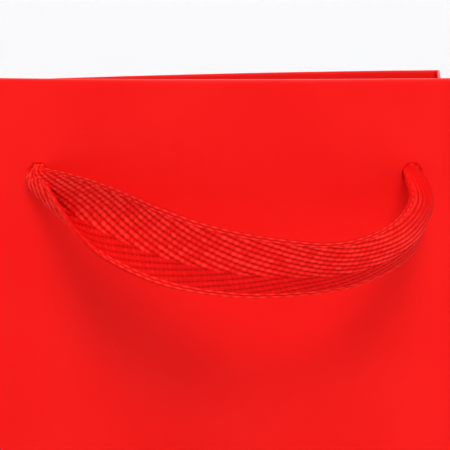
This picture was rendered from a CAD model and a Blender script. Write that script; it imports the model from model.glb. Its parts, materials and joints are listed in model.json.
"""Visual model of a small red paper gift bag with woven tape handles, built round its frame.

The bag is one folded blank with a turned-over rim, stiffened by two cards and a loose base board.
Each handle is a flat herringbone tape that comes out of two punched holes and is knotted inside.
"""
import json
import logging
import math
from dataclasses import dataclass
from enum import Enum

import bpy
import numpy as np
from numpy.typing import NDArray
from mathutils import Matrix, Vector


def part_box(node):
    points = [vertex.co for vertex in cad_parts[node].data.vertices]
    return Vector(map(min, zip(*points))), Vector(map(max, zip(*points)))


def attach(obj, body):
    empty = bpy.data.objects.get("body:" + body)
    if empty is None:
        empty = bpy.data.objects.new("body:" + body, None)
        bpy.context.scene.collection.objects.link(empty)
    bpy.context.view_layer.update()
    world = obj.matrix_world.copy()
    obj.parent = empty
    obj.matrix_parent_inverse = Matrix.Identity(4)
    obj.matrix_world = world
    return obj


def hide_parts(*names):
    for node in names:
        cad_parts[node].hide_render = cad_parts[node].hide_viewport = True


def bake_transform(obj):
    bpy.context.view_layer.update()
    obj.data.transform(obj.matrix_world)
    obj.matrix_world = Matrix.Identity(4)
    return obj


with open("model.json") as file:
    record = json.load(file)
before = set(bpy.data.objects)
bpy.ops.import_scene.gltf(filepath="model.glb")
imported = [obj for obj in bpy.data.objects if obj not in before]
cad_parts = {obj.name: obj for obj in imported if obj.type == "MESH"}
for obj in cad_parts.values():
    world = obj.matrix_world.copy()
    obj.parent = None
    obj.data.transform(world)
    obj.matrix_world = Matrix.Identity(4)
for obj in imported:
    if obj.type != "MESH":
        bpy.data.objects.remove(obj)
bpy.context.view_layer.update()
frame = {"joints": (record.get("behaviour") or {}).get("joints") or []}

LOG = logging.getLogger("gift_bag")
MM = 0.001
Array = NDArray[np.float64]


# ---------------------------------------------------------------------------------- shared helpers
def smooth_step(x: Array, low: float, high: float) -> Array:
    """Zero below low, one above high and a smooth cubic rise between them.

    Args:
        x: values of any shape.
        low: where the rise starts.
        high: where it ends.

    Returns:
        The weights, in the shape of x.
    """
    t = np.clip((x - low) / (high - low), 0.0, 1.0)
    return t * t * (3.0 - 2.0 * t)


def through_points(points: Array, places: Array) -> Array:
    """A smooth curve through points: cubics whose slope at a point is half its neighbours' gap.

    Args:
        points: the points, one in each row.
        places: where to read the curve, from 0 at the first point to the last point's number.

    Returns:
        One row for each place.
    """
    padded = np.vstack([2 * points[0] - points[1], points, 2 * points[-1] - points[-2]])
    k = np.clip(places.astype(int), 0, len(points) - 2)
    t = (places - k)[:, None]
    a, b, c, d = (padded[k + i] for i in range(4))
    return b + 0.5 * t * (c - a + t * (2 * a - 5 * b + 4 * c - d + t * (3 * (b - c) + d - a)))


def running_length(curve: Array) -> Array:
    """The length along a row of points, counted from the first one."""
    return np.concatenate([[0.0], np.cumsum(np.linalg.norm(np.diff(curve, axis=0), axis=1))])


def unit(vectors: Array) -> Array:
    """Vectors of length one in the same directions."""
    return vectors / np.maximum(np.linalg.norm(vectors, axis=-1, keepdims=True), 1e-12)


def surface_normals(points: Array) -> Array:
    """Unit normals of a grid of points: the row step crossed with the column step."""
    return unit(np.cross(np.gradient(points, axis=0), np.gradient(points, axis=1)))


def grid_faces(rows: int, columns: int, closed: bool = False) -> NDArray[np.int64]:
    """Four-sided faces of a grid whose points are numbered row by row.

    Args:
        rows: number of rows of points.
        columns: number of points in a row.
        closed: join each row's last point to its first.

    Returns:
        One row of four point numbers for each face.
    """
    number = np.arange(rows * columns).reshape(rows, columns)
    if closed:
        number = np.hstack([number, number[:, :1]])
    corners = (number[:-1, :-1], number[:-1, 1:], number[1:, 1:], number[1:, :-1])
    return np.stack(corners, axis=-1).reshape(-1, 4)


def put_mesh(name: str, points: Array, faces: list, materials: list[bpy.types.Material],
             uv: Array | None = None, values: dict[str, Array] | None = None) -> bpy.types.Object:
    """Make a smooth-shaded object at the origin from points and faces.

    Args:
        name: the object's name.
        points: point positions in metres.
        faces: point numbers of each face.
        materials: materials, in slot order.
        uv: a place on the flat sheet for each point, in metres.
        values: named numbers for each point, read by the materials.

    Returns:
        The new object.
    """
    mesh = bpy.data.meshes.new(name)
    mesh.from_pydata(points.reshape(-1, 3).tolist(), [], [list(face) for face in faces])
    mesh.polygons.foreach_set("use_smooth", np.ones(len(mesh.polygons), bool))
    if uv is not None:
        layer = mesh.uv_layers.new(name="flat")
        corner = np.zeros(len(mesh.loops), np.int32)
        mesh.loops.foreach_get("vertex_index", corner)
        layer.data.foreach_set("uv", uv.reshape(-1, 2)[corner].astype(np.float32).ravel())
    for key, numbers in (values or {}).items():
        attribute = mesh.attributes.new(key, "FLOAT", "POINT")
        attribute.data.foreach_set("value", numbers.astype(np.float32).ravel())
    for material in materials:
        mesh.materials.append(material)
    piece = bpy.data.objects.new(name, mesh)
    bpy.context.scene.collection.objects.link(piece)
    return piece


def settle(piece: bpy.types.Object) -> None:
    """Apply a piece's modifiers, so that its mesh is final."""
    graph = bpy.context.evaluated_depsgraph_get()
    final = bpy.data.meshes.new_from_object(piece.evaluated_get(graph))
    piece.modifiers.clear()
    piece.data = final


def thicken(piece: bpy.types.Object, thickness: float, inner: int = 0, rim: int = 0) -> None:
    """Give an open sheet its thickness on the side that its normals point away from.

    Args:
        piece: the sheet.
        thickness: in metres.
        inner: material slots to add for the far face.
        rim: material slots to add for the cut edges.
    """
    solid = piece.modifiers.new("thickness", "SOLIDIFY")
    solid.thickness = thickness
    solid.offset = -1.0
    solid.use_even_offset = True
    solid.material_offset = inner
    solid.material_offset_rim = rim


# ---------------------------------------------------------------------------------------- finishes
class Kind(Enum):
    """The families of finish, which differ in their grain."""

    PRINTED = "printed"
    BARE_PAPER = "bare paper"
    BOARD = "board"
    TAPE = "tape"


@dataclass(frozen=True)
class Finish:
    """A finish with a colour that varies a little, a roughness and a fine grain.

    Attributes:
        name: the material's name.
        kind: which family of grain it has.
        colour: base colour, linear.
        shade: the colour of its darker patches, linear.
        roughness: middle roughness.
        grain_size: size of the grain, in metres.
        grain_height: height of the grain, in metres.
        sheen: weight of a soft fibre sheen.
        gloss: strength of the surface reflection, 0.5 for plain plastic.
    """

    name: str
    kind: Kind
    colour: tuple[float, float, float]
    shade: tuple[float, float, float]
    roughness: float
    grain_size: float
    grain_height: float
    sheen: float = 0.0
    gloss: float = 0.25

    def material(self) -> bpy.types.Material:
        """The Blender material, made on first use and then shared."""
        found = bpy.data.materials.get(self.name)
        return found or self._make()

    def _make(self) -> bpy.types.Material:
        """Build the node tree: broad patches in the colour, fine grain in roughness and bump."""
        material = bpy.data.materials.new(self.name)
        material.use_nodes = True
        tree = material.node_tree
        shader = tree.nodes["Principled BSDF"]
        shader.inputs["Metallic"].default_value = 0.0
        shader.inputs["Specular IOR Level"].default_value = self.gloss
        shader.inputs["Sheen Weight"].default_value = self.sheen
        shader.inputs["Sheen Roughness"].default_value = 0.4
        shader.inputs["Sheen Tint"].default_value = (1.0, 0.25, 0.2, 1.0)
        place = tree.nodes.new("ShaderNodeTexCoord").outputs["Object"]
        broad = self._noise(tree, place, 22.0, 3.0)
        fine = self._noise(tree, place, 1.0 / self.grain_size, 4.0)
        tint = self._mix(tree, broad, self.colour, self.shade)
        if self.kind is Kind.TAPE:
            tint = self._tape_tint(tree, tint)
        elif self.kind is Kind.PRINTED:
            tint = self._worn_folds(tree, tint)
        tree.links.new(tint, shader.inputs["Base Color"])
        rough = tree.nodes.new("ShaderNodeMapRange")
        rough.inputs["To Min"].default_value = self.roughness - 0.05
        rough.inputs["To Max"].default_value = self.roughness + 0.05
        tree.links.new(fine, rough.inputs["Value"])
        tree.links.new(rough.outputs["Result"], shader.inputs["Roughness"])
        bump = tree.nodes.new("ShaderNodeBump")
        bump.inputs["Distance"].default_value = self.grain_height
        bump.inputs["Strength"].default_value = 0.7
        height = self._weave_grain(tree) if self.kind is Kind.TAPE else fine
        tree.links.new(height, bump.inputs["Height"])
        tree.links.new(bump.outputs["Normal"], shader.inputs["Normal"])
        return material

    @staticmethod
    def _noise(tree: bpy.types.NodeTree, place: bpy.types.NodeSocket, scale: float,
               detail: float) -> bpy.types.NodeSocket:
        """A noise of a given scale, in cells to the metre."""
        noise = tree.nodes.new("ShaderNodeTexNoise")
        noise.inputs["Scale"].default_value = scale
        noise.inputs["Detail"].default_value = detail
        tree.links.new(place, noise.inputs["Vector"])
        return noise.outputs["Fac"]

    @staticmethod
    def _mix(tree: bpy.types.NodeTree, share: bpy.types.NodeSocket, first: tuple, second: tuple,
             low: float = 0.35, high: float = 0.65) -> bpy.types.NodeSocket:
        """A colour ramp from first to second."""
        ramp = tree.nodes.new("ShaderNodeValToRGB")
        ramp.color_ramp.elements[0].position = low
        ramp.color_ramp.elements[1].position = high
        ramp.color_ramp.elements[0].color = (*first, 1.0)
        ramp.color_ramp.elements[1].color = (*second, 1.0)
        tree.links.new(share, ramp.inputs["Fac"])
        return ramp.outputs["Color"]

    @staticmethod
    def _blend(tree: bpy.types.NodeTree, first: bpy.types.NodeSocket,
                  second: bpy.types.NodeSocket, blend: str = "MULTIPLY") -> bpy.types.NodeSocket:
        """Two colours joined by a blend mode at full strength."""
        mix = tree.nodes.new("ShaderNodeMix")
        mix.data_type = "RGBA"
        mix.blend_type = blend
        mix.inputs[0].default_value = 1.0
        tree.links.new(first, mix.inputs[6])
        tree.links.new(second, mix.inputs[7])
        return mix.outputs[2]

    def _tape_tint(self, tree: bpy.types.NodeTree,
                   tint: bpy.types.NodeSocket) -> bpy.types.NodeSocket:
        """Darken the furrows between ribs and lighten the tops of the yarns."""
        relief = tree.nodes.new("ShaderNodeAttribute")
        relief.attribute_name = "relief"
        tone = self._mix(tree, relief.outputs["Fac"], (0.52, 0.2, 0.2), (1.0, 1.0, 1.0), 0.0, 0.75)
        tips = self._mix(tree, relief.outputs["Fac"], (0.0, 0.0, 0.0), (0.07, 0.05, 0.035),
                         0.6, 1.0)
        tint = self._blend(tree, tint, tips, "ADD")
        return self._blend(tree, tint, tone)

    def _worn_folds(self, tree: bpy.types.NodeTree,
                    tint: bpy.types.NodeSocket) -> bpy.types.NodeSocket:
        """Pale the print a little where the paper is creased."""
        wear = tree.nodes.new("ShaderNodeAttribute")
        wear.attribute_name = "fold"
        paler = self._mix(tree, wear.outputs["Fac"], (0.0, 0.0, 0.0), (0.09, 0.075, 0.07), 0.3, 1.0)
        return self._blend(tree, tint, paler, "ADD")

    @staticmethod
    def _weave_grain(tree: bpy.types.NodeTree) -> bpy.types.NodeSocket:
        """Fine yarn twist along the tape, from the tape's own flat place."""
        flat = tree.nodes.new("ShaderNodeUVMap")
        flat.uv_map = "flat"
        wave = tree.nodes.new("ShaderNodeTexWave")
        wave.wave_type = "BANDS"
        wave.bands_direction = "DIAGONAL"
        wave.inputs["Scale"].default_value = 900.0
        wave.inputs["Distortion"].default_value = 2.5
        wave.inputs["Detail"].default_value = 2.0
        tree.links.new(flat.outputs["UV"], wave.inputs["Vector"])
        return wave.outputs["Fac"]


PRINT = Finish("red_laminate", Kind.PRINTED, (0.93, 0.010, 0.008), (0.90, 0.007, 0.006), 0.5,
               0.0004, 0.00003, 0.0, 0.07)
REVERSE = Finish("white_reverse", Kind.BARE_PAPER, (0.80, 0.79, 0.76), (0.74, 0.73, 0.70), 0.9,
                 0.0005, 0.00006)
CORE = Finish("paper_core", Kind.BARE_PAPER, (0.85, 0.72, 0.70), (0.80, 0.60, 0.58), 0.9,
              0.0003, 0.00004)
CARDBOARD = Finish("grey_card", Kind.BOARD, (0.40, 0.37, 0.33), (0.33, 0.30, 0.26), 0.9,
                   0.0007, 0.00008)
GREYBOARD = Finish("grey_board", Kind.BOARD, (0.36, 0.34, 0.31), (0.28, 0.26, 0.23), 0.92,
                   0.0009, 0.0001)
TAPE = Finish("red_twill", Kind.TAPE, (0.96, 0.004, 0.003), (0.91, 0.003, 0.002), 0.62,
              0.0003, 0.00008, 0.08, 0.08)
PAPER_SET = (PRINT, REVERSE, CORE)


# ------------------------------------------------------------------------------- sizes of the frame
@dataclass(frozen=True)
class BagFrame:
    """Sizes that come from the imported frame, in metres.

    Attributes:
        half_width: half the bag's width.
        half_depth: half its depth, without the handles.
        height: up to the rim.
        hole_x: each handle hole's distance from the middle.
        hole_height: the holes' height.
        hinge_out: how far the handles' swing axis stands off the panel.
        hem_base: the height of the hem's lower edge.
        lining: depth of the folded rim, from the panel's outer face to the hem's inner face.
        gusset_in: how far each gusset's middle crease is drawn in at the rim.
    """

    half_width: float
    half_depth: float
    height: float
    hole_x: float
    hole_height: float
    hinge_out: float
    hem_base: float
    lining: float
    gusset_in: float

    @classmethod
    def read(cls) -> "BagFrame":
        """Read the sizes from the frame's nodes and joints."""
        low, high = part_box("front_panel")
        knot_low, knot_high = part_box("front_right_knot")
        hem_low, hem_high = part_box("front_hem")
        gusset_low, gusset_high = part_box("right_gusset_front")
        swing = next(j for j in frame["joints"] if j["name"] == "front_handle_swing")
        half_depth = -low.y
        return cls(half_width=high.x, half_depth=half_depth, height=high.z,
                   hole_x=(knot_low.x + knot_high.x) / 2, hole_height=swing["pos_m"][2],
                   hinge_out=-swing["pos_m"][1] - half_depth, hem_base=hem_low.z,
                   lining=half_depth + hem_high.y, gusset_in=gusset_high.x - gusset_low.x)


@dataclass(frozen=True)
class PaperWarp:
    """The small bends of real paper, as one smooth movement of space, so that layers stay together.

    Attributes:
        bag: the frame's sizes.
        bow: how far each wide panel bows out at the middle of its rim.
        flare: how far the last stretch below the rim turns out.
        flare_size: height of that stretch.
        ripple: height of the slow waves across the panels.
        sag: how far the middle of the front rim drops.
        rear_low: how much lower the rear rim's right corner stands.
        rear_lean: how much the rear rim drops from right to left, in proportion.
        rear_curve: how much more it drops with the square of that share.
        gusset_dip: how far a gusset's middle drops as it is drawn in.
        pucker: how far the tape lifts the paper round a hole.
        pucker_size: radius of that lift.
    """

    bag: BagFrame
    bow: float = 1.2 * MM
    flare: float = 1.0 * MM
    flare_size: float = 26 * MM
    ripple: float = 0.35 * MM
    sag: float = 0.95 * MM
    rear_low: float = 0.7 * MM
    rear_lean: float = 2.0 * MM
    rear_curve: float = 2.1 * MM
    gusset_dip: float = 2.8 * MM
    pucker: float = 0.6 * MM
    pucker_size: float = 8 * MM

    def drop(self, x: Array, y: Array, z: Array) -> Array:
        """How far a place stands lower than in a true box, growing with height.

        In front it follows a flattened cosine across the rim. Behind it is a square law from right
        to left. On a gusset a straight slope to the middle crease is added.
        """
        bag = self.bag
        share = np.clip(np.abs(y) / bag.half_depth, 0.0, 1.0)
        side = np.clip(x / bag.half_width, -1.0, 1.0)
        left = (1.0 - side) / 2
        back = smooth_step(y, -bag.half_depth, bag.half_depth)
        across = np.clip(np.cos(np.pi * side / 2), 0.0, 1.0) ** 0.45
        front_drop = self.sag * across * share ** 6
        rear_drop = self.rear_low + self.rear_lean * left + self.rear_curve * left ** 2
        dip = self.gusset_dip * (1 - share) * smooth_step(np.abs(side), 0.80, 0.87)
        high = smooth_step(z, 0.3 * bag.height, bag.height)
        rise = np.clip((z / bag.height - 0.45) / 0.55, 0.0, 1.0)
        return high * ((1 - back) * front_drop + back * rear_drop) + rise * dip

    def outward(self, x: Array, z: Array, front: bool) -> Array:
        """How far a wide panel stands proud at a place, zero along its folds.

        A half cosine across and a square law with height, a flare under the rim, two slow waves
        and a round lift at each hole.
        """
        bag = self.bag
        across = np.cos(np.pi * x / (2 * bag.half_width)) ** 1.5
        up = z / bag.height
        phase = 0.0 if front else 1.9
        slow = np.sin(x / (21 * MM) + 2.2 * up + phase) * np.sin(np.pi * up ** 1.4)
        slow += 0.7 * np.sin(z / (17 * MM) - x / (46 * MM) + 0.6 + phase)
        lip = np.clip((z - bag.height + self.flare_size) / self.flare_size, 0, 1) ** 1.7
        bulge = (self.bow * up ** 2 + self.flare * lip + self.ripple * slow) * across
        for side in (-1, 1):
            gap = ((x - side * bag.hole_x) ** 2 + (z - bag.hole_height - 2 * MM) ** 2)
            bulge = bulge + self.pucker * np.exp(-gap / self.pucker_size ** 2)
        return bulge

    def apply(self, points: Array) -> Array:
        """Move points with the paper.

        Args:
            points: positions of any grid shape, the last axis x, y and z.

        Returns:
            The moved positions.
        """
        x, y, z = (points[..., i] for i in range(3))
        width = self.bag.half_width
        share = np.clip(y / self.bag.half_depth, -1.0, 1.0)
        near = np.abs(share) ** 6 * (np.abs(x) < width)
        across = np.clip(x, -width, width)
        bulge = np.where(share < 0, -self.outward(across, z, True), self.outward(across, z, False))
        moved = points.copy()
        moved[..., 1] = y + near * bulge
        moved[..., 2] = z - self.drop(x, y, z)
        return moved


# ------------------------------------------------------------------------------------ folded blank
@dataclass
class FoldedBlank:
    """The creased paper: four walls with their turned-over rim, the seam flap and the base flaps.

    Attributes:
        bag: the frame's sizes.
        warp: the paper's bends.
        paper: its thickness.
        corner: radius of the upright folds.
        side_fold: depth of the rim's fold over the gussets, which hold no card.
        lift: height where the walls turn into the base flaps.
        base_gap: the step between base layers.
        hole_radius: radius of the punched holes.
        flap_reach: length of the long base flaps.
        tuck_reach: length of the side tucks.
        tuck_taper: how much a tuck narrows on each side.
        seam_width: width of the glue flap.
        flat_crease: height of the pressed crease across the wide panels.
        top_room: height kept free below the rim for its fold.
    """

    bag: BagFrame
    warp: PaperWarp
    paper: float = 0.32 * MM
    corner: float = 0.7 * MM
    side_fold: float = 1.2 * MM
    lift: float = 2.6 * MM
    base_gap: float = 0.6 * MM
    hole_radius: float = 2.9 * MM
    flap_reach: float = 64 * MM
    tuck_reach: float = 46 * MM
    tuck_taper: float = 22 * MM
    seam_width: float = 14 * MM
    flat_crease: float = 52 * MM
    top_room: float = 2 * MM

    def build(self) -> list[bpy.types.Object]:
        """Build every piece of the blank and put each on the root body."""
        pieces = [self.walls(), self.seam_flap()]
        pieces += [self.long_flap("outer_base_flap", 1, 0.0),
                   self.long_flap("inner_base_flap", -1, self.base_gap)]
        pieces += [self.tuck("left_base_tuck", -1), self.tuck("right_base_tuck", 1)]
        for piece in pieces:
            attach(piece, "root")
        return pieces

    def outline(self) -> tuple[Array, Array, Array]:
        """One trip round the bag from the rear left corner, as shares of the walls and an angle.

        On a wall one share runs from -1 to 1 and the other is fixed; on a corner both are fixed and
        the angle turns by a quarter. Points crowd towards the corners and the gussets' creases.

        Returns:
            Shares along x, shares along y, and the outward normal's angle.
        """
        run = np.linspace(-1, 1, 97)
        wide = np.sign(run) * (1 - (1 - np.abs(run)) ** 1.15)
        half = np.linspace(0, 1, 18)
        fold = np.sign(np.linspace(-1, 1, 35)) * np.concatenate([half[::-1], half[1:]]) ** 1.25
        turn = np.linspace(0, 1, 6)[1:-1]
        ones_w, ones_f, ones_t = np.ones_like(wide), np.ones_like(fold), np.ones_like(turn)
        quarter = np.pi / 2
        x = np.concatenate([wide, ones_t, ones_f, ones_t, wide[::-1], -ones_t, -ones_f, -ones_t])
        y = np.concatenate([ones_w, ones_t, fold[::-1], -ones_t, -ones_w, -ones_t, fold, ones_t])
        angle = np.concatenate([quarter * ones_w, quarter * (1 - turn), 0 * ones_f,
                                -quarter * turn, -quarter * ones_w, -quarter * (1 + turn),
                                -2 * quarter * ones_f, -quarter * (2 + turn)])
        return x, y, angle

    def profile(self) -> tuple[Array, Array, Array]:
        """The walls' section: straight up, half a turn over the rim, and down to the hem's edge.

        Returns:
            Height below the rim's fold or above the ground, share of the fold's turn, and how far
            down the hem each point lies; the fold's radius is put in for each wall.
        """
        top = self.bag.height - self.top_room
        low = np.concatenate([np.linspace(self.lift, 0.075, 26)[:-1],
                              np.linspace(0.075, top, 62)])
        turn = np.linspace(0, np.pi, 12)
        down = np.linspace(0, top - self.bag.hem_base, 18)[1:]
        height = np.concatenate([low, np.full(len(turn) + len(down), top)])
        angle = np.concatenate([np.zeros(len(low)), turn, np.full(len(down), np.pi)])
        hem = np.concatenate([np.zeros(len(low) + len(turn)), down])
        return height, angle, hem

    def wall_points(self) -> tuple[Array, Array]:
        """The walls' surface: the outline carried along the profile, with drawn-in gussets.

        At fold angle a and fold radius r a point stands r(1 - cos a) inside the outer face and
        r sin a above the fold's centre, and the hem hangs straight down from the fold's end.

        Returns:
            Points as rows of the outline, and how strongly each is folded.
        """
        bag = self.bag
        x, y, angle = (a[None, :] for a in self.outline())
        height, turn, hem = (a[:, None] for a in self.profile())
        gusset = smooth_step(np.abs(np.cos(angle)), 0.2, 0.9)
        radius = 0.5 * (bag.lining * (1 - gusset) + self.side_fold * gusset)
        inset = radius * (1 - np.cos(turn))
        on_fold = turn > 0
        centre = bag.height - radius
        z = np.where(on_fold, centre + radius * np.sin(turn) - hem,
                     height * centre / (bag.height - self.top_room))
        px = x * (bag.half_width - inset - self.corner) + self.corner * np.cos(angle)
        py = y * (bag.half_depth - inset - self.corner) + self.corner * np.sin(angle)
        px = px - np.sign(x) * self.pinch(py, z) * gusset
        crease = self.crease_lines(px, py, z, gusset)
        depth = 0.22 * MM * crease * ~on_fold
        px = px - np.cos(angle) * depth
        py = py - np.sin(angle) * depth
        points = self.warp.apply(np.stack([px, py, z], axis=-1))
        upright = np.exp(-((np.abs(np.abs(px) - bag.half_width) + np.abs(
            np.abs(py) - bag.half_depth)) / (0.9 * MM)) ** 2)
        fold = np.maximum(np.sin(turn) ** 2 * 0.9, np.maximum(0.55 * crease, 0.8 * upright))
        return points, fold

    def pinch(self, y: Array, z: Array) -> Array:
        """How far a gusset is drawn in: nothing up to the depth crease, then more with height."""
        rise = np.clip((z - 2 * self.bag.half_depth)
                       / (self.bag.height - 2 * self.bag.half_depth), 0, 1)
        fold = 1 - np.sqrt(np.clip(np.abs(y) / self.bag.half_depth, 0, 1) ** 2 + 0.0016)
        return self.bag.gusset_in * rise * np.clip(fold, 0, 1)

    def crease_lines(self, x: Array, y: Array, z: Array, gusset: Array) -> Array:
        """Strength of the creases: one level line, each gusset's middle and its diagonals."""
        bag = self.bag
        level = np.exp(-((z - self.flat_crease) / (0.8 * MM)) ** 2) * (1 - gusset)
        middle = np.exp(-(y / (0.7 * MM)) ** 2) * gusset * smooth_step(z, 0.03, 0.05)
        slope = (z - (bag.half_depth - np.abs(y))) / math.sqrt(2.0)
        diagonal = np.exp(-(slope / (0.8 * MM)) ** 2) * gusset
        return np.clip(level + middle + diagonal, 0, 1)

    def walls(self) -> bpy.types.Object:
        """The four walls and the hem as one folded sheet, printed outside, with punched holes."""
        points, fold = self.wall_points()
        rows, columns = fold.shape
        faces = grid_faces(rows, columns, closed=True)[:, ::-1]
        flat = points[..., [0, 2]]
        piece = put_mesh("paper_walls", points, faces, [f.material() for f in PAPER_SET],
                         uv=flat, values={"fold": fold})
        thicken(piece, self.paper, inner=1, rim=2)
        settle(piece)
        self.punch(piece)
        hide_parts("front_panel", "rear_panel", "front_hem", "rear_hem",
                    "left_gusset_front", "left_gusset_rear", "right_gusset_front",
                    "right_gusset_rear", "left_hem_front", "left_hem_rear", "right_hem_front",
                    "right_hem_rear")
        return piece

    def hole_centres(self) -> list[Array]:
        """The four punched holes' centres, on the moved paper."""
        flat = [np.array([side * self.bag.hole_x, face * self.bag.half_depth,
                          self.bag.hole_height]) for face in (-1, 1) for side in (-1, 1)]
        return [self.warp.apply(point) for point in flat]

    def punch(self, piece: bpy.types.Object) -> None:
        """Cut the handle holes through a piece, with the paper's core on the cut edge."""
        cutters = []
        for number, centre in enumerate(self.hole_centres()):
            angle = np.linspace(0, 2 * np.pi, 40, endpoint=False)
            ring = np.stack([self.hole_radius * np.cos(angle), 0 * angle,
                             self.hole_radius * np.sin(angle)], axis=-1) + centre
            near, far = ring - [0, 8 * MM, 0], ring + [0, 8 * MM, 0]
            count = len(ring)
            faces = grid_faces(2, count, closed=True)[:, ::-1].tolist()
            faces += [list(range(count)), list(range(count, 2 * count))[::-1]]
            cutter = put_mesh(f"punch_{number}", np.vstack([near, far]), faces,
                              [CORE.material()])
            boolean = piece.modifiers.new("hole", "BOOLEAN")
            boolean.operation = "DIFFERENCE"
            boolean.solver = "EXACT"
            boolean.object = cutter
            cutters.append(cutter)
        settle(piece)
        for cutter in cutters[::-1]:
            bpy.data.objects.remove(cutter)

    def sheet(self, name: str, points: Array, fold: Array) -> bpy.types.Object:
        """A flap from a grid of points, printed on the side that its normals show."""
        rows, columns = fold.shape
        piece = put_mesh(name + "_paper", points, grid_faces(rows, columns),
                         [f.material() for f in PAPER_SET], uv=points[..., [0, 1]],
                         values={"fold": fold})
        thicken(piece, self.paper, inner=1, rim=2)
        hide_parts(name)
        return piece

    def turned_in(self, level: float, reach: float, count: int = 40) -> tuple[Array, Array]:
        """A flap's section from the wall's lower edge: a quarter turn, then flat along the base.

        Args:
            level: height of the flap's lower face.
            reach: length of the flap from the wall.
            count: points along the flat stretch.

        Returns:
            Distance in from the wall and height, for each point.
        """
        radius = 0.9 * MM
        turn = np.linspace(0, np.pi / 2, 7)
        flat = np.linspace(radius, reach, count)[1:]
        inward = np.concatenate([[0.0], radius * (1 - np.cos(turn)), flat])
        height = np.concatenate([[self.lift - 0.05 * MM], level + radius * (1 - np.sin(turn)),
                                 np.full(len(flat), level)])
        return inward, height

    def long_flap(self, name: str, side: int, level: float) -> bpy.types.Object:
        """A long base flap that turns in from a wide wall; side is -1 in front and 1 behind."""
        inward, height = self.turned_in(level, self.flap_reach)
        half = self.bag.half_width - 0.5 * self.corner
        x = np.linspace(-half, half, 61)[None, :] * np.ones_like(inward)[:, None]
        y = side * (self.bag.half_depth - inward)[:, None] + 0 * x
        wave = 0.12 * MM * np.sin(x / (19 * MM)) * smooth_step(inward, 0.02, 0.05)[:, None]
        z = height[:, None] + np.abs(wave)
        if side < 0:
            x = x[:, ::-1]
        fold = np.exp(-(inward[:, None] / (1.0 * MM)) ** 2) + 0 * x
        return self.sheet(name, np.stack([x, y, z], axis=-1), fold * 0.7)

    def tuck(self, name: str, side: int) -> bpy.types.Object:
        """A side tuck that turns in over the long flaps and narrows towards its edge."""
        inward, height = self.turned_in(2 * self.base_gap, self.tuck_reach, 30)
        share = np.linspace(-1, 1, 41)[None, :]
        narrow = self.tuck_taper * smooth_step(inward, 1.5 * MM, self.tuck_reach)[:, None]
        y = share * (self.bag.half_depth - 1.0 * MM - narrow)
        x = side * (self.bag.half_width - inward)[:, None] + 0 * y
        if side > 0:
            y = y[:, ::-1]
        z = height[:, None] + 0 * y
        fold = np.exp(-(inward[:, None] / (1.0 * MM)) ** 2) + 0 * y
        return self.sheet(name, np.stack([x, y, z], axis=-1), fold * 0.7)

    def seam_flap(self) -> bpy.types.Object:
        """The glue flap: a strip inside the rear wall at its left fold, print to the wall."""
        x = np.linspace(0, self.seam_width, 12)[None, :] - self.bag.half_width + 1.0 * MM
        low, high = 4 * self.base_gap, self.bag.hem_base - 0.6 * MM
        taper = 6 * MM * smooth_step(x + self.bag.half_width, 6 * MM, 16 * MM)
        share = np.linspace(0, 1, 60)[:, None]
        z = low + taper + share * (high - low - 2 * taper)
        y = np.full_like(z, self.bag.half_depth - self.paper - 0.35 * MM)
        points = self.warp.apply(np.stack([x + 0 * z, y, z], axis=-1))[:, ::-1]
        return self.sheet("side_seam_flap", points, np.zeros(z.shape))


# --------------------------------------------------------------------------------- boards and cards
@dataclass
class StiffBoard:
    """A flat card or board with rounded corners and softened edges.

    Attributes:
        node: the frame's node that it stands for.
        body: the body it rides on.
        slot: the record's material slot.
        finish: its finish.
        flat_axis: number of the axis it is thin along.
        corner: radius of its corners.
        warp: the paper's bends, for a card inside the rim.
    """

    node: str
    body: str
    slot: str
    finish: Finish
    flat_axis: int
    corner: float
    warp: PaperWarp | None = None

    def build(self, blank: FoldedBlank | None = None) -> bpy.types.Object:
        """A thin soft-edged section carried along x, which narrows in a quarter circle at the ends.

        Args:
            blank: the blank whose punches also go through this board.

        Returns:
            The finished piece.
        """
        low, high = (np.array(c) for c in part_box(self.node))
        middle, half = (low + high) / 2, (high - low) / 2
        thin, tall = (1, 2) if self.flat_axis == 1 else (2, 1)
        near_end = self.corner * (1 - np.cos(np.linspace(0, np.pi / 2, 9)))
        straight = np.linspace(self.corner, 2 * half[0] - self.corner, 80)[1:-1]
        run = np.concatenate([near_end, straight, 2 * half[0] - near_end[::-1]])
        from_end = np.clip(np.minimum(run, 2 * half[0] - run), 0, self.corner)
        reach = half[tall] - self.corner + np.sqrt(
            np.clip(self.corner ** 2 - (self.corner - from_end) ** 2, 0, None))
        soft = 0.12 * MM
        face = np.linspace(-1, 1, 13)
        level = np.concatenate([np.full(13, 1.0), [0.6, -0.6], np.full(13, -1.0), [-0.6, 0.6]])
        across = np.concatenate([face, [1, 1], face[::-1], [-1, -1]])
        inset = np.where(np.abs(level) == 1.0, soft, 0.0)
        grid = np.zeros((len(run), len(level), 3))
        grid[..., 0] = (run - half[0])[:, None]
        grid[..., thin] = level[None, :] * half[thin]
        grid[..., tall] = across[None, :] * (reach[:, None] - inset[None, :])
        points = self.warp.apply(grid + middle) if self.warp else grid + middle
        rows, columns = grid.shape[:2]
        faces = grid_faces(rows, columns, closed=True)
        ends = [list(range(columns)), list(range((rows - 1) * columns, rows * columns))[::-1]]
        if self.flat_axis == 1:
            ends = [end[::-1] for end in ends]
        else:
            faces = faces[:, ::-1]
        piece = put_mesh(self.node + "_shape", points, faces.tolist() + ends,
                         [self.finish.material()])
        piece.data.shade_flat()
        if blank is not None:
            blank.punch(piece)
        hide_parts(self.node)
        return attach(piece, self.body)


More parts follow.
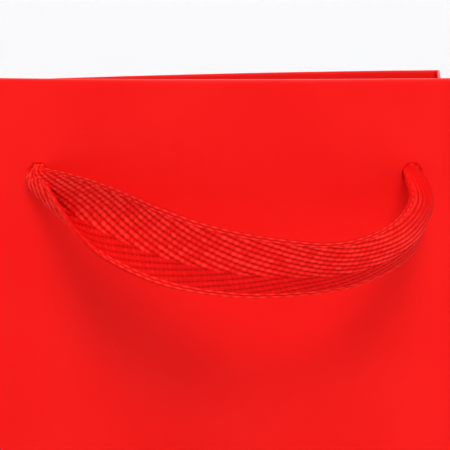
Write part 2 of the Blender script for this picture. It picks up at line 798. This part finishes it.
# ------------------------------------------------------------------------------------ woven handles
# The tape's course from the left hole to the right one, seen from outside, in millimetres:
# (across from the middle, out from the panel, above the holes) for its upper selvedge, its middle
# and its lower selvedge. The left end is cupped, so there the middle lies behind both selvedges.
TAPE_COURSE = (
    ((-59.5, -5.0, 0.5), (-60.0, -5.0, 0.0), (-60.5, -5.0, -1.0)),
    ((-58.5, 0.5, 2.0), (-61.0, 0.0, 1.0), (-59.0, 0.5, -1.5)),
    ((-57.0, 4.0, 1.5), (-62.5, 2.0, 0.0), (-58.0, 5.0, -1.5)),
    ((-54.0, 7.5, 1.5), (-63.0, 2.5, -3.0), (-56.0, 7.5, -3.0)),
    ((-48.0, 13.5, 2.0), (-57.5, 4.0, -8.0), (-51.5, 12.0, -9.0)),
    ((-39.0, 19.0, 0.5), (-47.5, 10.0, -11.5), (-45.5, 17.5, -16.5)),
    ((-31.0, 22.0, -2.0), (-37.5, 15.5, -13.5), (-37.5, 24.0, -22.5)),
    ((-18.0, 26.0, -7.0), (-20.5, 25.0, -18.5), (-22.5, 30.0, -28.5)),
    ((-4.0, 31.5, -11.0), (-5.5, 33.0, -21.5), (-7.0, 34.5, -31.0)),
    ((13.0, 39.5, -13.0), (12.5, 39.5, -22.0), (12.0, 38.5, -31.0)),
    ((32.0, 44.0, -13.5), (34.0, 42.0, -21.0), (36.0, 38.0, -28.0)),
    ((47.0, 35.0, -10.5), (52.0, 32.5, -17.0), (54.5, 27.0, -22.0)),
    ((55.5, 20.0, -6.0), (62.5, 17.0, -10.0), (61.5, 10.0, -14.0)),
    ((57.0, 6.5, -2.0), (64.5, 6.5, -4.0), (61.0, 2.5, -6.5)),
    ((57.5, 1.0, 0.5), (60.5, 2.5, 2.0), (61.5, 1.5, -1.0)),
    ((59.5, -5.0, 0.5), (60.0, -5.0, 0.0), (60.5, -5.0, -1.0)),
)


@dataclass
class TapeHandle:
    """A flat herringbone tape that hangs between two holes, pleated and cupped at its ends.

    Attributes:
        word: front or rear.
        bag: the frame's sizes.
        warp: the paper's bends.
        width: of the tape.
        cut_length: length of the flat tape from hole to hole.
        thickness: of the tape between its ribs.
        rows: points along the tape, an odd number.
        columns: points across it, an odd number.
        rib_pitch: distance between ribs.
        rib_height: how far a rib stands up.
        rib_lean: slope of the ribs against the tape's length.
        stitch: length of one stitch along a rib.
        chevron: share of the half width where the two slopes meet.
        slant: how far a stitch leans across its rib, in ribs for one stitch.
        pleats: waves across the tape where it is gathered.
        gather_reach: how far from its far end the ribs close up.
        far_end: the tape's length along its middle, set by build.
    """

    word: str
    bag: BagFrame
    warp: PaperWarp
    width: float = 20 * MM
    cut_length: float = 190 * MM
    thickness: float = 0.75 * MM
    rows: int = 441
    columns: int = 129
    rib_pitch: float = 1.7 * MM
    rib_height: float = 0.5 * MM
    rib_lean: float = 0.21
    stitch: float = 2.0 * MM
    chevron: float = -0.28
    slant: float = 0.16
    pleats: float = 11.0
    gather_reach: float = 50 * MM
    far_end: float = 0.0

    def course(self) -> tuple[Array, Array]:
        """The smooth surface that the tape follows, before ribs and pleats.

        Each crossing is a parabola through its upper selvedge, middle and lower selvedge. Crossings
        are evenly spaced along the tape's middle.

        Returns:
            Points by row and column, and each row's distance along the tape.
        """
        guides = np.array(TAPE_COURSE) * MM
        dense = np.linspace(0, len(guides) - 1, 1200)
        along = running_length(through_points(guides[:, 1], dense))
        wanted = np.linspace(0, along[-1], self.rows)
        places = np.interp(wanted, along, dense)
        upper, middle, lower = (through_points(guides[:, i], places)[:, None] for i in range(3))
        v = np.linspace(-1, 1, self.columns)[None, :, None]
        points = middle + v * (upper - lower) / 2 + v ** 2 * ((upper + lower) / 2 - middle)
        return self.even_across(points), wanted

    def even_across(self, points: Array) -> Array:
        """Slide each crossing's points along it until they are evenly spaced."""
        steps = np.linalg.norm(np.diff(points, axis=1), axis=2)
        run = np.concatenate([np.zeros((len(points), 1)), np.cumsum(steps, axis=1)], axis=1)
        even = np.linspace(0, 1, self.columns)
        place = np.stack([np.interp(even * row[-1], row, np.arange(self.columns)) for row in run])
        lower = np.clip(place.astype(int), 0, self.columns - 2)
        share = (place - lower)[..., None]
        rows = np.arange(len(points))[:, None]
        return points[rows, lower] * (1 - share) + points[rows, lower + 1] * share

    def relief(self, along: Array, across: Array) -> Array:
        """Height of the weave, from 0 in a furrow to 1 on a yarn's top.

        Ribs are half-round ridges that lean one way above the chevron line and the other way below
        it. Each rib is a row of lens-shaped stitches, a rounded cosine along it, and the next rib's
        stitches stand a little further on. Every stitch has a height of its own. Where the tape
        is gathered at its far end the ribs close up into plain cords. The selvedge is two cords.
        """
        gathered = np.exp(-((self.far_end - along) / self.gather_reach) ** 4)
        turn = across - self.chevron * self.width / 2
        side = np.where(turn > 0, 1.0, -1.0)
        easing = 8 * MM
        straight = self.far_end - self.gather_reach
        lean = -self.rib_lean * easing * np.logaddexp(-along / easing, -straight / easing)
        rib = (turn + side * lean) / self.rib_pitch
        number = np.floor(rib)
        offset = rib - number - 0.5
        length = np.where(side > 0, self.stitch, 0.75 * self.stitch)
        beat = along / length + 0.4 * number
        number_along = np.floor(beat + 0.5)
        lens = offset - self.slant * side * (beat - number_along) * (1 - gathered)
        chance = np.sin(12.9898 * number + 78.233 * number_along) * 43758.5453
        own = 1 - (0.22 - 0.12 * gathered) * (chance - np.floor(chance))
        hump = np.sqrt(np.clip(1 - (2.0 * lens) ** 2, 0, 1))
        bead = np.abs(np.cos(np.pi * beat)) ** 0.45
        bead = bead + (0.9 - bead) * 0.85 * gathered
        deep = np.where(side > 0, 0.30, 0.16)
        woven = hump * own * (1 - deep + deep * bead) * np.where(side > 0, 1.0, 0.75)
        edge = self.width / 2 - np.abs(across)
        pitch = 0.85 * MM
        cord = np.sqrt(np.clip(1 - (2 * (edge / pitch - np.floor(edge / pitch)) - 1) ** 2, 0, 1))
        cord = np.where(edge < 0.5 * pitch, smooth_step(edge, -0.4 * MM, 0.3 * MM), cord)
        twist = 0.86 + 0.14 * np.cos(2 * np.pi * along / (3.6 * MM) + 2.5 * np.floor(edge / pitch)
                                     + 2 * side)
        return np.where(edge < 2 * pitch, cord * twist, woven)

    def pleat_height(self, along: Array, across: Array) -> Array:
        """Height of the gathers: a wave across the tape that fades away from each hole."""
        left = np.exp(-(along / (9 * MM)) ** 2) * 0.4 * MM
        right = np.exp(-((self.far_end - along) / (30 * MM)) ** 2) * 0.3 * MM
        wave = np.cos(2 * np.pi * self.pleats * across / self.width + 0.4)
        slow = np.cos(0.8 * np.pi * self.pleats * across / self.width - 0.9)
        return left[:, None] * slow + right[:, None] * wave

    def place(self, local: Array) -> Array:
        """Put points given as across, out and above the holes into the frame.

        The rear handle is the front one turned half way round, and both drop with their wall.
        """
        bag = self.bag
        sign = 1.0 if self.word == "front" else -1.0
        x = sign * local[..., 0] * bag.hole_x / (60 * MM)
        y = -sign * (bag.half_depth + local[..., 1])
        drop = self.warp.drop(x, np.full_like(x, -sign * bag.half_depth),
                              np.full_like(x, bag.hole_height))
        return np.stack([x, y, bag.hole_height + local[..., 2] - drop], axis=-1)

    def build(self) -> bpy.types.Object:
        """The tape as one closed mesh: a fine outer face, a coarser inner face and a joining edge.

        Returns:
            The finished piece, which bends between the bag and the handle's body.
        """
        base, along = self.course()
        self.far_end = along[-1]
        across = np.linspace(-1, 1, self.columns)[None, :] * self.width / 2
        normal = -surface_normals(base)
        gather = self.pleat_height(along, across)[..., None]
        base = base + normal * gather
        normal = -surface_normals(base)
        height = self.relief(along[:, None], across)
        near = np.exp(-((self.far_end - along[:, None]) / (26 * MM)) ** 2)
        ridge = 0.5 + 0.5 * np.cos(2 * np.pi * self.pleats * across / self.width + 0.4)
        height = height * (1 - 0.75 * near)
        tone = np.clip(height * 0.9 + near * (0.6 * ridge - 0.15), 0, 1)
        half = self.thickness / 2 * (1 - 0.35 * np.abs(across / (self.width / 2)) ** 8)
        outer = base + normal * (half + self.rib_height * height)[..., None]
        back = self.relief(along[:, None] + 0.7 * MM, -across)
        inner = (base - normal * (half + 0.6 * self.rib_height * back)[..., None])[::2, ::2]
        flat = np.stack([along[:, None] + 0 * across, across + 0 * along[:, None]], axis=-1)
        points = np.vstack([outer.reshape(-1, 3), inner.reshape(-1, 3)])
        piece = put_mesh(self.word + "_handle_tape", self.place(points), self.faces(),
                         [TAPE.material()],
                         uv=np.vstack([flat.reshape(-1, 2), flat[::2, ::2].reshape(-1, 2)]),
                         values={"relief": np.concatenate([tone.ravel(),
                                                           back[::2, ::2].ravel()])})
        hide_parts(self.word + "_handle_ribbon")
        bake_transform(piece)
        return piece

    def faces(self) -> list:
        """Faces of both sides and of the edge that joins them, one inner step to two outer ones."""
        rows, columns = self.rows, self.columns
        outer = np.arange(rows * columns).reshape(rows, columns)
        half_rows, half_columns = (rows + 1) // 2, (columns + 1) // 2
        inner = rows * columns + np.arange(half_rows * half_columns).reshape(half_rows,
                                                                            half_columns)
        faces = grid_faces(rows, columns)[:, ::-1].tolist()
        faces += (grid_faces(half_rows, half_columns) + rows * columns).tolist()
        loop_out = np.concatenate([outer[0, :-1], outer[:-1, -1], outer[-1, :0:-1],
                                   outer[:0:-1, 0]])
        loop_in = np.concatenate([inner[0, :-1], inner[:-1, -1], inner[-1, :0:-1],
                                  inner[:0:-1, 0]])
        after = np.roll(loop_in, -1)
        a, b, c = loop_out[0::2], loop_out[1::2], np.roll(loop_out, -2)[0::2]
        for triangle in ((a, b, loop_in), (b, after, loop_in), (b, c, after)):
            faces += np.stack(triangle, axis=-1).tolist()
        return faces


@dataclass
class TiedKnot:
    """A tape end knotted inside the bag: crossing straps round a core, and a flared tail.

    Attributes:
        word: front or rear.
        end: left or right, as seen from in front.
        bag: the frame's sizes.
        warp: the paper's bends.
        radius: of the knot.
        strap: half the width of a strap.
        tail: length of the tail.
        stand_off: the knot's middle, inwards from the hem.
        squash: its depth as a share of its width.
        neck: radius of the gathered tape in the hole.
    """

    word: str
    end: str
    bag: BagFrame
    warp: PaperWarp
    radius: float = 4.4 * MM
    strap: float = 2.9 * MM
    tail: float = 15 * MM
    stand_off: float = 5.2 * MM
    squash: float = 0.86
    neck: float = 2.72 * MM

    def strap_points(self, tilt: float, yaw: float, rise: float) -> Array:
        """A flattened ring round the core: an oval section carried round a tilted circle."""
        turn = np.linspace(0, 2 * np.pi, 49)[:-1][:, None]
        ring = np.linspace(0, 2 * np.pi, 17)[:-1][None, :]
        wide = self.strap * np.sin(ring) * (1 + 0.10 * np.sin(5 * turn))
        thick = 0.75 * MM * np.cos(ring) * (1 + 0.2 * np.cos(6 * ring))
        reach = self.radius + rise + 0.35 * MM * np.sin(3 * turn + tilt) + thick
        points = np.stack([reach * np.cos(turn), wide + 0 * turn, reach * np.sin(turn)], axis=-1)
        spin = np.array([[1, 0, 0], [0, math.cos(tilt), -math.sin(tilt)],
                         [0, math.sin(tilt), math.cos(tilt)]])
        swing = np.array([[math.cos(yaw), -math.sin(yaw), 0], [math.sin(yaw), math.cos(yaw), 0],
                          [0, 0, 1]])
        return points @ spin.T @ swing.T

    def core_points(self) -> Array:
        """A lumpy ball in the middle of the straps."""
        lat = np.linspace(0.06, np.pi - 0.06, 14)[:, None]
        lon = np.linspace(0, 2 * np.pi, 25)[:-1][None, :]
        reach = self.radius * (0.98 + 0.05 * np.sin(3 * lon) * np.sin(2 * lat))
        return np.stack([reach * np.sin(lat) * np.cos(lon), reach * np.sin(lat) * np.sin(lon),
                         reach * np.cos(lat) + 0 * lon], axis=-1)

    def neck_points(self) -> Array:
        """The gathered tape in the hole, from the knot's middle to just proud of the panel."""
        run = np.linspace(0, 1, 12)[:, None]
        ring = np.linspace(0, 2 * np.pi, 37)[:-1][None, :]
        reach = self.neck * (1 + 0.04 * np.cos(9 * ring)) * np.sqrt(1 - (0.97 * run) ** 40)
        length = self.stand_off + self.bag.lining + 1.3 * MM
        return np.stack([reach * np.cos(ring), -length * run / self.squash + 0 * ring,
                         reach * np.sin(ring)], axis=-1)

    def tail_points(self) -> Array:
        """A closed strip that leaves the knot gathered and flares into a crisp, wavy end."""
        run = np.linspace(0, 1, 40)[:, None]
        ring = np.linspace(0, 2 * np.pi, 65)[:-1][None, :]
        v = np.cos(ring)
        half = (2.2 + 6.4 * smooth_step(run, 0.0, 0.9)) * MM
        fold = 1.0 * MM * np.cos(3.2 * np.pi * v + 0.6) * (1 - 0.55 * run)
        thick = 0.45 * MM * np.sin(ring)
        x = half * v
        y = fold + thick - 2.0 * MM * run ** 2
        z = -self.radius * 0.6 - self.tail * run - 0.7 * MM * run * np.sin(2 * np.pi * v)
        return np.stack([x + 0 * run, y + 0 * x, z + 0 * x], axis=-1)

    def build(self) -> bpy.types.Object:
        """Join core, straps and tail into one piece behind its hole."""
        parts = [(self.core_points(), False), (self.strap_points(0.35, 0.2, 0.1 * MM), True),
                 (self.strap_points(1.35, 0.9, 0.3 * MM), True),
                 (self.strap_points(-0.8, -0.5, 0.5 * MM), True), (self.tail_points(), False),
                 (self.neck_points(), False)]
        points, faces, start = [], [], 0
        for grid, ring in parts:
            rows, columns = grid.shape[:2]
            number = grid_faces(rows, columns, closed=True)
            faces += (number + start).tolist()
            if ring:
                last = np.arange(columns) + (rows - 1) * columns
                first = np.arange(columns)
                faces += (np.stack([last, np.roll(last, -1), np.roll(first, -1), first], axis=-1)
                          + start).tolist()
            else:
                faces.append([start + i for i in range(columns)][::-1])
                faces.append([start + (rows - 1) * columns + i for i in range(columns)])
            points.append(grid.reshape(-1, 3))
            start += rows * columns
        node = f"{self.word}_{self.end}_knot"
        low, high = (np.array(c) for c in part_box(node))
        centre = np.array([(low[0] + high[0]) / 2, 0.0, self.bag.hole_height])
        inside = self.bag.half_depth - self.bag.lining - self.stand_off
        centre[1] = -inside if self.word == "front" else inside
        centre = centre - [0, 0, float(self.warp.drop(centre[0], centre[1], centre[2]))]
        cloud = np.vstack(points)
        cloud[:, 1] *= self.squash
        turn = 1.0 if self.word == "front" else -1.0
        mirror = np.array([turn, turn, 1.0])
        cloud = cloud * mirror + centre
        flat = np.stack([cloud[:, 0], cloud[:, 2]], axis=-1)
        rise = 0.65 + 0.35 * np.sin(cloud[:, 0] / (0.35 * MM)) * np.sin(cloud[:, 2] / (0.5 * MM))
        piece = put_mesh(node + "_tied", cloud, faces, [TAPE.material()], uv=flat,
                         values={"relief": rise})
        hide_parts(node)
        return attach(piece, "root")


# ------------------------------------------------------------------------------------------- studio
@dataclass
class Studio:
    """Plain pale surroundings, soft lights and the camera.

    Attributes:
        bag: the frame's sizes.
        floor_radius: where the floor starts to rise.
        wall_height: height of the surround.
        distance: the camera's distance from the front panel.
        eye: the camera's height above the rim.
        pitch: how far the camera looks down, in degrees.
        lens: focal length in millimetres on a 36 mm sensor.
    """

    bag: BagFrame
    floor_radius: float = 2.2
    wall_height: float = 3.0
    distance: float = 0.307
    eye: float = 0.0107
    pitch: float = 10.8
    lens: float = 76.7

    def build(self) -> None:
        """Make the surround, the lights, the world and the camera."""
        self.surround()
        self.light("key", (0.20, -0.84, 1.34), 0.60, 14.2)
        self.light("top", (0.0, -0.10, 1.70), 1.10, 1.7)
        self.light("fill", (-0.9, -1.3, 0.55), 1.20, 0.5)
        self.light("back", (0.3, 1.35, 1.30), 1.20, 6.0)
        world = bpy.data.worlds.new("studio_air")
        bpy.context.scene.world = world
        world.use_nodes = True
        background = world.node_tree.nodes["Background"]
        background.inputs["Color"].default_value = (1.0, 1.0, 1.0, 1.0)
        background.inputs["Strength"].default_value = 0.11
        self.camera()
        bpy.context.scene.view_settings.view_transform = "Standard"

    def surround(self) -> None:
        """A round floor that turns up into a wall all round: a profile turned about the upright."""
        rise = np.linspace(0, np.pi / 2, 14)
        bend = 0.9
        radius = np.concatenate([[0.001, 0.3, 0.8, 1.5], self.floor_radius + bend * np.sin(rise),
                                 [self.floor_radius + bend]])
        height = np.concatenate([[0, 0, 0, 0], bend * (1 - np.cos(rise)), [self.wall_height]])
        turn = np.linspace(0, 2 * np.pi, 97)[:-1][None, :]
        points = np.stack([radius[:, None] * np.cos(turn), radius[:, None] * np.sin(turn),
                           height[:, None] - 0.0001 + 0 * turn], axis=-1)
        faces = grid_faces(len(radius), turn.shape[1], closed=True)[:, ::-1].tolist()
        faces.append(list(range(turn.shape[1])))
        piece = put_mesh("pale_surround", points, faces, [self.stage_material()])

    def stage_material(self) -> bpy.types.Material:
        """Matte white that glows a little, most behind the bag."""
        material = bpy.data.materials.new("pale_stage")
        material.use_nodes = True
        tree = material.node_tree
        shader = tree.nodes["Principled BSDF"]
        shader.inputs["Base Color"].default_value = (0.82, 0.82, 0.83, 1.0)
        shader.inputs["Roughness"].default_value = 0.9
        shader.inputs["Specular IOR Level"].default_value = 0.0
        place = tree.nodes.new("ShaderNodeTexCoord").outputs["Object"]
        split = tree.nodes.new("ShaderNodeSeparateXYZ")
        tree.links.new(place, split.inputs["Vector"])
        glow = tree.nodes.new("ShaderNodeMapRange")
        glow.inputs["From Min"].default_value = 0.2
        glow.inputs["From Max"].default_value = 1.6
        glow.inputs["To Min"].default_value = 0.12
        glow.inputs["To Max"].default_value = 0.47
        tree.links.new(split.outputs["Y"], glow.inputs["Value"])
        shader.inputs["Emission Color"].default_value = (0.985, 0.985, 1.0, 1.0)
        tree.links.new(glow.outputs["Result"], shader.inputs["Emission Strength"])
        return material

    def light(self, name: str, place: tuple[float, float, float], size: float,
              power: float) -> None:
        """A square soft light that faces the top of the bag.

        Args:
            name: the light's name.
            place: where it stands.
            size: its side.
            power: in watts.
        """
        data = bpy.data.lights.new(name, "AREA")
        data.shape = "SQUARE"
        data.size = size
        data.energy = power
        lamp = bpy.data.objects.new(name, data)
        bpy.context.scene.collection.objects.link(lamp)
        lamp.location = place
        aim = np.array([0.0, 0.0, 0.8 * self.bag.height]) - np.array(place)
        yaw = math.atan2(aim[1], aim[0])
        tilt = math.atan2(math.hypot(aim[0], aim[1]), -aim[2])
        lamp.rotation_euler = (tilt, 0.0, yaw - math.pi / 2)

    def camera(self) -> None:
        """The camera: level across, square to the front panel, looking a little down."""
        data = bpy.data.cameras.new("camera")
        data.lens = self.lens
        data.sensor_width = 36.0
        eye = bpy.data.objects.new("camera", data)
        bpy.context.scene.collection.objects.link(eye)
        eye.location = (0.0, -self.bag.half_depth - self.distance, self.bag.height + self.eye)
        eye.rotation_euler = (math.radians(90.0 - self.pitch), 0.0, 0.0)
        bpy.context.scene.camera = eye


def main() -> None:
    """Build the bag, its boards, its handles and the studio."""
    logging.basicConfig(level=logging.INFO, format="%(name)s: %(message)s")
    bag = BagFrame.read()
    warp = PaperWarp(bag)
    Studio(bag).build()
    LOG.info("studio and camera")
    blank = FoldedBlank(bag, warp)
    for piece in blank.build():
        LOG.info("%s, %d faces", piece.name, len(piece.data.polygons))
    for word in ("front", "rear"):
        card = StiffBoard(word + "_rim_card", "root", "grey_card", CARDBOARD, 1, 1.5 * MM, warp)
        LOG.info("%s", card.build(blank).name)
    board = StiffBoard("base_board", "insert", "grey_board", GREYBOARD, 2, 2.5 * MM)
    LOG.info("%s", board.build().name)
    for word in ("front", "rear"):
        knots = [TiedKnot(word, end, bag, warp).build() for end in ("left", "right")]
        handle = TapeHandle(word, bag, warp)
        tape = handle.build()
        LOG.info("%s, %d faces", tape.name, len(tape.data.polygons))


if __name__ == "__main__":
    main()
